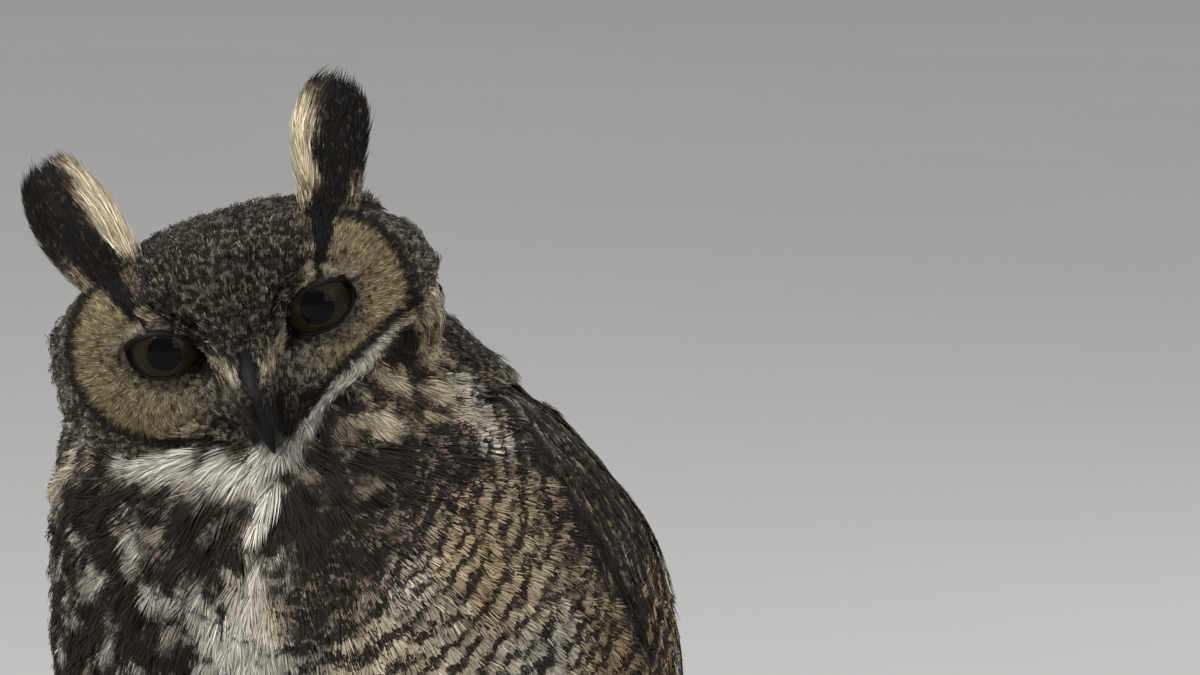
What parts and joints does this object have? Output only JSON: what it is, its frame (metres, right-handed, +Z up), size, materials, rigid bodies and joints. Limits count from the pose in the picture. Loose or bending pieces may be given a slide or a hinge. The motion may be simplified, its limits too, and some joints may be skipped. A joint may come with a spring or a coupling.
{
  "type": "great horned owl",
  "caption": "Still, life-size great horned owl standing at rest, its head turned and tilted, with ear tufts, hooked bill, folded wings and feathered feet.",
  "frame": {"origin": "under the middle of the bounding box, on the floor that the feet and the tail's end rest on", "axes": "+Z up, the owl's body faces -Y, its left is +X"},
  "size_m": [0.2472, 0.3368, 0.3847],
  "materials": {
    "plumage": "brown, buff and white barred feathers",
    "pale_plumage": "short buff feathers",
    "dark_plumage": "dark brown feathers",
    "horn": "black horn, satin",
    "eye": "wet, dark"
  },
  "bodies": {
    "root": {"head": "plumage", "neck": "plumage", "trunk": "plumage", "tail": "plumage", "wing_left": "dark_plumage", "wing_right": "dark_plumage", "primaries_left": "dark_plumage", "primaries_right": "dark_plumage", "ear_tuft_left": "dark_plumage", "ear_tuft_right": "dark_plumage", "leg_left": "pale_plumage", "leg_right": "pale_plumage", "foot_left": "pale_plumage", "foot_right": "pale_plumage", "eye_left": "eye", "eye_right": "eye", "bill_upper": "horn", "bill_lower": "horn", "claw_left_inner": "horn", "claw_left_middle": "horn", "claw_left_outer": "horn", "claw_left_hind": "horn", "claw_right_inner": "horn", "claw_right_middle": "horn", "claw_right_outer": "horn", "claw_right_hind": "horn"}
  },
  "joints": []
}
